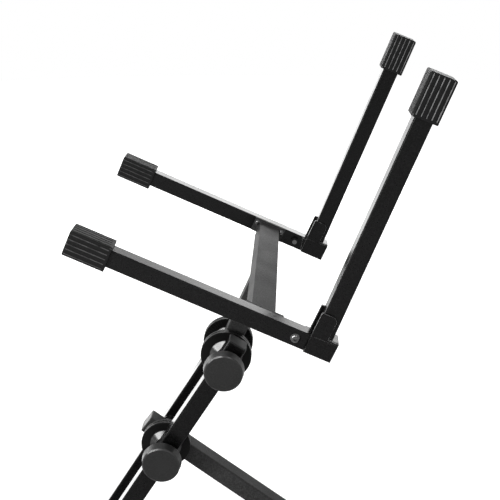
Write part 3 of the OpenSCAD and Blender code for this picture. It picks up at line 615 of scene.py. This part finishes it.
# %% Plastics
FINISHES["clutch_disc"] = finish("filled_nylon", colour=0.004, roughness=0.42, grain_size=1.2 * MM,
                                 bump=0.01 * MM, rub_colour=0.04, gloss=0.07, edge=0.4 * MM, drift=0.03,
                                 polish=on_cone, polish_level=0.6)
FINISHES["knob"] = finish("grained_plastic", colour=0.013, roughness=0.42, grain_size=1.1 * MM,
                          bump=0.01 * MM, rub_colour=0.05, gloss=0.1, edge=0.5 * MM, speckle=0.012,
                          polish=on_slope, polish_level=0.25)
PLUG = dict(grain_size=1.2 * MM, rub=0.4, dust=0.1, edge=0.5 * MM)
FINISHES["end_plug"] = finish("tube_plug", **PLUG, colour=0.012, roughness=0.6, bump=0.03 * MM,
                              rub_colour=0.06, gloss=0.12, speckle=0.012)
FINISHES["bright_plug"] = finish("handled_plug", **PLUG, colour=0.02, roughness=0.5, bump=0.02 * MM,
                                 rub_colour=0.08, gloss=0.2, speckle=0.02)
print("finishes so far", len(FINISHES))

# %% [markdown]
# ## Fasteners
# Two kinds of steel finish are used. The bolts that show are blackened in a hot bath and oiled, which
# leaves a thin dark film with a wet gloss. The inner nuts, the washers and the springs are zinc plated.
# A pale grey paint would look flat on them, because bare metal shows nothing but reflections. So the
# shader is fully metallic, and its colour is that of its reflection.

# %% Fasteners
STEEL = dict(bump=0.01 * MM, edge=0.3 * MM)
FINISHES["black_fastener"] = finish("black_oxide", **STEEL, colour=0.004, roughness=0.15,
                                    grain_size=0.8 * MM, rub_colour=0.1, gloss=0.9)
FINISHES["zinc_fastener"] = finish("zinc_plate", **STEEL, colour=0.5, roughness=0.35, grain_size=0.5 * MM,
                                   rub_colour=0.6, dust=0.05, gloss=0.3, metallic=1.0)
print("finishes", len(FINISHES))

# %% [markdown]
# ## Dressing the nodes
# A finish could be listed for every node of the construction model. But the record already says which
# material each node is made of, its slot, so a node wears the finish of its slot unless it has one of
# its own here. A slot is one material of the real stand, and some of them look different from place to
# place: the coarse coat is still frame paint. The nuts of the brackets were painted with the frame.

# %% Dress the nodes
OWN_FINISH = {
    "bracket_nuts": "frame_paint", "rear_leg_plug": "bright_plug",
    "cross_bar": "coarse_coat", "head_post": "coarse_coat", "rear_leg_tube": "coarse_coat",
    "hinge_bracket_near": "bracket_paint", "hinge_bracket_far": "bracket_paint",
    "base_arm_cap_near": "base_arm_rubber", "base_arm_cap_far": "base_arm_rubber",
    "back_arm_cap_near": "back_arm_rubber", "back_arm_cap_far": "back_arm_rubber",
}
SLOT_OF = {part["node"]: part["material_slot"] for part in frame["record"]["subparts"]}


def dress(piece, finish_name):
    piece.data.materials.clear()
    piece.data.materials.append(FINISHES[finish_name])


for node_name, node_object in frame["nodes"].items():
    dress(node_object, OWN_FINISH.get(node_name, SLOT_OF[node_name]))
print("dressed", len(frame["nodes"]), "nodes")

# %% [markdown]
# ## Making a piece
# A new piece is a mesh shaped with bmesh operators. It could be modelled at the origin and its object
# moved to its place, but then the grain, which follows object coordinates, would lie otherwise on it
# than on the frame. So it is shaped in its real place. It gets a finish and the body that it moves
# with. All the new pieces here are painted steel.


def make_piece(name, shape, body, finish_name, smooth=False):
    bmesh.ops.recalc_face_normals(shape, faces=shape.faces)
    for face in shape.faces:
        face.smooth = smooth
    mesh = bpy.data.meshes.new(name)
    shape.to_mesh(mesh)
    shape.free()
    piece = bpy.data.objects.new(name, mesh)
    bpy.context.scene.collection.objects.link(piece)
    dress(piece, finish_name)
    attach(piece, body)
    print(name, "rides on", body, "with", len(mesh.polygons), "faces")
    return piece


# %% [markdown]
# ## The far side of the leg joint
# The legs are locked by one pair of toothed discs, on the knob's side. On the far side the photograph
# shows no disc above the rear leg, only the leg and the tube behind it. What fills the gap there is a
# pair of plain turned bushes, no wider than the tube, with the release spring in the pocket between
# them. They take the place of the two discs that the construction model has there.
#
# A turned piece could be cut out of cylinders, which leaves loose edges to clean. Here half a section
# is drawn once and spun about its axis, as on a lathe, and the mesh comes out closed. The section is
# given in millimetres, as the distance from the axis and the depth from the middle of the gap.

# %% Far leg bushes
LEG_TUBE = 30 * MM
LEG_INNER_FACE = 39 * MM
BUSH_MIDDLE = (LEG_TUBE / 2 + LEG_INNER_FACE) / 2
BUSH_SECTION = [(5.3, 12.0), (14.8, 12.0), (14.8, 9.6), (14.0, 8.8), (13.0, 8.8), (13.0, 0.75),
                (12.4, 0.15), (11.0, 0.15), (11.0, 8.0), (5.3, 8.0)]
TURNED_STEPS = 64


def bush(name, body, node, side):
    shape = bmesh.new()
    corners = []
    for radius, depth in BUSH_SECTION:
        offset = Vector((radius * MM, BUSH_MIDDLE + side * depth * MM, 0))
        corners.append(shape.verts.new(LEG_AXIS + offset))
    section = [shape.edges.new(ends) for ends in zip(corners, corners[1:] + corners[:1])]
    bmesh.ops.spin(shape, geom=corners + section, cent=LEG_AXIS, axis=(0, 1, 0), angle=math.tau,
                   steps=TURNED_STEPS, use_merge=True)
    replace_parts(make_piece(name, shape, body, "frame_paint"), node)


bush("leg_bush_inner_far", "rear_leg", "leg_clutch_inner_far", -1)
bush("leg_bush_outer_far", "front_legs", "leg_clutch_outer_far", 1)

# %% [markdown]
# ## The path of a weld bead
# The post, the cross bar, its end plates and the foot bars are joined by arc welding. A weld leaves a
# bead along the joint, rippled where each drop of metal froze, and the powder coat goes over it. A
# curve with a round section would give the bead but no ripples, so it is built step by step.
#
# Its path is a few corners joined by short even steps. A closed path is then smoothed a little, because
# a bead runs round a corner in a curve. At each step the bead has a seat: a place, a heading and a
# size, which swells at every second step and makes the ripples.

# %% Bead path
BEAD_STEP = 1.3 * MM
BEAD_SWELL = 0.1
CORNER_PASSES = 3


def bead_points(corners, closed):
    points = []
    following = corners[1:] + corners[:1] if closed else corners[1:]
    for first, last in zip(corners, following):
        steps = round((last - first).length / BEAD_STEP)
        points += [first.lerp(last, step / steps) for step in range(steps)]
    if not closed:
        return points + corners[-1:]
    for _ in range(CORNER_PASSES):
        neighbours = zip(points[-1:] + points[:-1], points, points[1:] + points[:1])
        points = [(before + 2 * point + after) / 4 for before, point, after in neighbours]
    return points


def bead_seats(corners, closed):
    points = bead_points(corners, closed)
    headings = [(after - point).normalized() for point, after in zip(points, points[1:] + points[:1])]
    if not closed:
        headings[-1] = headings[-2]
    turn = headings[0].to_track_quat("Z", "Y")
    seats = []
    for step, (point, heading) in enumerate(zip(points, headings)):
        turn = headings[max(step - 1, 0)].rotation_difference(heading) @ turn
        swell = 1 + BEAD_SWELL * (-1) ** step
        seats.append(Matrix.LocRotScale(point, turn, Vector((swell, swell, swell))))
    return seats


print("a bead ripples every", round(2 * BEAD_STEP / MM, 1), "mm")

# %% [markdown]
# ## Building a bead
# A row of small balls would ripple too, but balls cross each other and leave no closed skin. So a small
# ring is set in the first seat and extruded from seat to seat along the path. A loop is closed by
# bridging the last ring to the first, and an open bead gets its ends filled. Two more helpers find the
# corners that an extrusion has just made and the edges that join them, for the operator that comes
# next.

# %% Bead builder
BEAD_RADIUS = 1.8 * MM
BEAD_SIDES = 8


def corners_of(grown):
    return [part for part in grown["geom"] if isinstance(part, bmesh.types.BMVert)]


def edges_among(corners):
    meeting = [edge for corner in corners for edge in corner.link_edges]
    return list(dict.fromkeys(edge for edge in meeting if all(end in corners for end in edge.verts)))


def weld_bead(name, body, corners, closed=True):
    seats = bead_seats(corners, closed)
    shape = bmesh.new()
    bmesh.ops.create_circle(shape, segments=BEAD_SIDES, radius=BEAD_RADIUS)
    bmesh.ops.transform(shape, matrix=seats[0], verts=shape.verts[:])
    ring_edges = first_edges = shape.edges[:]
    for seat, following in zip(seats, seats[1:]):
        ring = corners_of(bmesh.ops.extrude_edge_only(shape, edges=ring_edges))
        ring_edges = edges_among(ring)
        bmesh.ops.transform(shape, matrix=following @ seat.inverted(), verts=ring)
    if closed:
        bmesh.ops.bridge_loops(shape, edges=first_edges + ring_edges)
    else:
        bmesh.ops.holes_fill(shape, edges=shape.edges, sides=BEAD_SIDES)
    make_piece(name, shape, body, "coarse_coat", smooth=True)


print("a bead is", round(2 * BEAD_RADIUS / MM, 1), "mm wide")

# %% [markdown]
# ## Places on the head
# The head is tilted. Each place on it could be worked out in the model's frame, but it is easier to say
# how far it lies along the base arms from the hinge corner, how far across the stand, and how far up
# from the top of the arms, in millimetres. One helper turns that into the model's frame, so that a
# piece can be drawn level and set down tilted. The post stands 73 mm ahead of the hinge corner, and the
# tilt axis is 161.4 mm below it.

# %% Places on the head
POST_FORWARD = 73.0
POST_DROP = 161.4


def on_head(along, across, up):
    turned = Matrix.Rotation(ARM_TILT, 3, "Y") @ Vector((along + POST_FORWARD, across, up + POST_DROP))
    return TILT_AXIS + turned * MM


print("hinge corner", [round(value, 4) for value in on_head(0, 0, 0)])

# %% [markdown]
# ## Beads of the head
# The post meets the underside of the cross bar in a square, so its bead is a closed loop. Each end
# plate is welded to the bar over its top and down its sides, as far as the plate reaches, so that bead
# is open. The corners could be picked from the bar's mesh, but its triangles say nothing of where a
# weld ends, so they are given by the sizes of the bar, the plate and the post.

# %% Beads of the head
BAR_HALF = 17.5
BAR_TOP = -5.0
BAR_UNDERSIDE = -30.0
PLATE_FACE = 192.5
PLATE_LOWER_EDGE = -24.0
POST_HALF = 15.0
SQUARE = ((-1, -1), (1, -1), (1, 1), (-1, 1))


def post_bead():
    corners = [on_head(x * POST_HALF - POST_FORWARD, y * POST_HALF, BAR_UNDERSIDE) for x, y in SQUARE]
    weld_bead("post_weld", "head", corners)


def end_plate_bead(name, side):
    front, rear = -POST_FORWARD - BAR_HALF, -POST_FORWARD + BAR_HALF
    path = [(front, PLATE_LOWER_EDGE), (front, BAR_TOP), (rear, BAR_TOP), (rear, PLATE_LOWER_EDGE)]
    weld_bead(name, "head", [on_head(along, side * PLATE_FACE, up) for along, up in path], closed=False)


post_bead()
end_plate_bead("end_plate_weld_near", -1)
end_plate_bead("end_plate_weld_far", 1)

# %% [markdown]
# ## The shoes of the hinge brackets
# In the photograph a fine bright line crosses each hinge bracket, level with the top of the base arm,
# and runs down its front edge. Up to that line the cheek is doubled by the pressed shoe that holds the
# end of the arm. The doubling is only a millimetre thick, so it is modelled here. A box scaled flat
# would have knife edges, and no light would catch them. So four corners are joined to a face, its
# corners are rounded, the face is extruded to its thickness, and its rim is bevelled.

# %% Bracket shoes
ARM_MIDDLE = 208.0
CHEEK_FACE = 15.8
SHOE_OUTLINE = [(-5.5, -24.8), (33.8, -24.8), (33.8, 2.6), (-5.5, 1.0)]
SHOE_THICKNESS = 1.0
SHOE_CORNER = 1.5
SHOE_RIM = 0.5


def bracket_shoe(name, across, outward):
    shape = bmesh.new()
    corners = [shape.verts.new((along, across, up)) for along, up in SHOE_OUTLINE]
    shape.faces.new(corners)
    bmesh.ops.bevel(shape, geom=corners, offset=SHOE_CORNER, segments=3, profile=0.5, affect="VERTICES",
                    material=-1)
    top = corners_of(bmesh.ops.extrude_face_region(shape, geom=shape.faces[:], use_keep_orig=True))
    bmesh.ops.translate(shape, vec=(0, outward * SHOE_THICKNESS, 0), verts=top)
    rim = edges_among(top)
    bmesh.ops.bevel(shape, geom=rim, offset=SHOE_RIM, segments=2, profile=0.5, affect="EDGES",
                    material=-1)
    for corner in shape.verts:
        corner.co = on_head(*corner.co)
    make_piece(name, shape, "head", "bracket_paint")


for side_name, side in (("near", -1), ("far", 1)):
    bracket_shoe("bracket_shoe_" + side_name + "_outer", side * (ARM_MIDDLE + CHEEK_FACE), side)
    bracket_shoe("bracket_shoe_" + side_name + "_inner", side * (ARM_MIDDLE - CHEEK_FACE), -side)

# %% [markdown]
# ## Beads on the foot bars
# Each leg is notched to sit over the inner upper corner of its foot bar, so its bead runs across the
# top of the bar, down both sides and across the inner face. Where the leg's upper and lower faces meet
# the bar could be measured on each leg. But it follows from the leg's slope alone, so one helper serves
# all three. The middle of a bar is 18 mm above the floor, and the front legs are 54 mm to each side.

# %% Beads of the feet
FRONT_SLOPE = math.radians(58.2)
REAR_SLOPE = math.radians(36.9)
FOOT_HEIGHT = 18 * MM
LEG_SIDE = 54 * MM


def foot_bead(name, body, slope, inward, across):
    half = LEG_TUBE / 2
    foot_x = LEG_AXIS.x - inward * (LEG_AXIS.z - FOOT_HEIGHT) / math.tan(slope)
    upper = -half * math.sin(slope) + half * (1 - math.cos(slope)) / math.tan(slope)
    lower = -half * math.cos(slope) + half * (1 - math.sin(slope)) * math.tan(slope)
    one_side = [(upper, half), (half, half), (half, lower)]
    path = [(x, z, -half) for x, z in one_side] + [(x, z, half) for x, z in reversed(one_side)]
    corners = [Vector((foot_x + inward * x, across + y, FOOT_HEIGHT + z)) for x, z, y in path]
    weld_bead(name, body, corners)


foot_bead("front_foot_weld_near", "front_legs", FRONT_SLOPE, 1, -LEG_SIDE)
foot_bead("front_foot_weld_far", "front_legs", FRONT_SLOPE, 1, LEG_SIDE)
foot_bead("rear_foot_weld", "rear_leg", REAR_SLOPE, -1, 0)
